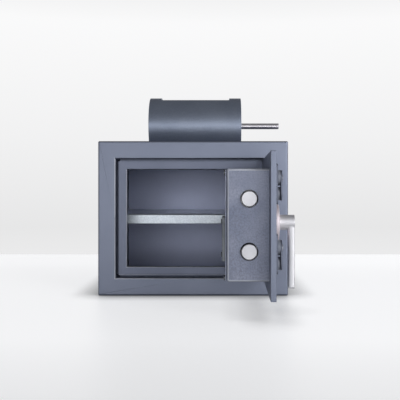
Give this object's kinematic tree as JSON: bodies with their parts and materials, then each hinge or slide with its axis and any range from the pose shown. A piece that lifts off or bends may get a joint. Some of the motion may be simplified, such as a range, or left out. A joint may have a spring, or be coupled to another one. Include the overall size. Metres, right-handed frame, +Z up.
{
  "type": "drop safe with rotary deposit drum",
  "caption": "Steel drop safe with an inset door, sliding bolts, key locks and a shelf, and a hand-turned rotary deposit drum on its roof.",
  "frame": {"origin": "middle of the safe's flat base, on the surface that it stands on", "axes": "+Z up; the door's face looks to -Y and its hinge is at +X; stored with the door standing open as in the picture"},
  "size_m": [0.33, 0.6342, 0.3621],
  "materials": {
    "body_paint": "satin powder coat",
    "drum_paint": "satin powder coat",
    "rotor_paint": "satin powder coat",
    "box_paint": "fine textured powder coat",
    "galvanised": "galvanised, spangled",
    "zinc_steel": "bright zinc plate",
    "polished_steel": "polished",
    "satin_steel": "satin, brushed",
    "rose_steel": "satin",
    "lock_dark": "satin black",
    "guard_zinc": "yellow-grey zinc plate",
    "bronze": "plain bronze",
    "brass": "plain brass"
  },
  "bodies": {
    "safe_body": {"outer_shell": "body_paint", "back_plate": "body_paint", "door_frame": "body_paint", "stop_frame": "body_paint", "hinge_pins": "zinc_steel", "hinge_pads": "body_paint", "hinge_washers": "zinc_steel", "shelf": "galvanised", "shelf_brackets": "body_paint", "deposit_chute": "body_paint", "anti_fishing_combs": "zinc_steel", "drum_housing": "drum_paint", "left_end_plate": "drum_paint", "right_end_plate": "drum_paint", "end_plate_lugs": "drum_paint", "end_plate_screws": "zinc_steel", "drum_bushes": "bronze"},
    "drum_rotor": {"rotor_scoop": "rotor_paint", "rotor_end_discs": "rotor_paint", "rotor_stub_shafts": "zinc_steel", "rotor_rod": "polished_steel", "rod_nut": "zinc_steel"},
    "door": {"door_plate": "body_paint", "bolt_box": "box_paint", "box_cover": "box_paint", "cover_screws": "zinc_steel", "lock_guard": "guard_zinc", "guard_screws": "zinc_steel", "hinge_dog_bar": "zinc_steel", "bolt_guide": "zinc_steel", "upper_lock_case": "lock_dark", "lower_lock_case": "lock_dark", "lock_case_screws": "zinc_steel", "lock_escutcheons": "lock_dark", "keyhole_bezels": "satin_steel", "cover_bosses": "lock_dark", "cover_rivets": "zinc_steel", "handle_rose": "rose_steel"},
    "handle": {"handle_lever": "satin_steel", "handle_spindle": "zinc_steel", "spindle_clip": "lock_dark", "spindle_cam": "zinc_steel", "cam_pin": "zinc_steel"},
    "bolt_work": {"upper_bolt": "polished_steel", "lower_bolt": "polished_steel", "bolt_carriage": "zinc_steel", "carriage_screws": "lock_dark"},
    "upper_lock": {"upper_lock_bolt": "brass"},
    "lower_lock": {"lower_lock_bolt": "brass"},
    "upper_cover": {"upper_key_cover": "lock_dark"},
    "lower_cover": {"lower_key_cover": "lock_dark"}
  },
  "joints": [
    {"name": "door_swing", "type": "hinge", "parent": "safe_body", "child": "door", "pos_m": [0.1249, -0.186, 0.134], "axis": [0, 0, 1], "range_deg": [-88.5, 21.5]},
    {"name": "drum_turn", "type": "hinge", "parent": "safe_body", "child": "drum_rotor", "pos_m": [0, -0.039, 0.3076], "axis": [-1, 0, 0], "range_deg": [0, 165]},
    {"name": "handle_turn", "type": "hinge", "parent": "door", "child": "handle", "pos_m": [0.12108, -0.33195, 0.134], "axis": [0.9997, -0.0262, 0], "range_deg": [0, 90]},
    {"name": "bolt_throw", "type": "slide", "parent": "door", "child": "bolt_work", "axis": [-0.0262, -0.9997, 0], "range_m": [0, 0.015]},
    {"name": "upper_lock_slide", "type": "slide", "parent": "door", "child": "upper_lock", "axis": [0, 0, -1], "range_m": [0, 0.008]},
    {"name": "lower_lock_slide", "type": "slide", "parent": "door", "child": "lower_lock", "axis": [0, 0, 1], "range_m": [0, 0.008]},
    {"name": "upper_cover_swing", "type": "hinge", "parent": "door", "child": "upper_cover", "pos_m": [0.11953, -0.39093, 0.2006], "axis": [0.9997, -0.0262, 0], "range_deg": [-100, 100]},
    {"name": "lower_cover_swing", "type": "hinge", "parent": "door", "child": "lower_cover", "pos_m": [0.11953, -0.39093, 0.1006], "axis": [0.9997, -0.0262, 0], "range_deg": [-100, 100]}
  ],
  "couplings": [
    {"joint": "bolt_throw", "follows": "handle_turn", "m_per_rad": 0.0095493}
  ]
}
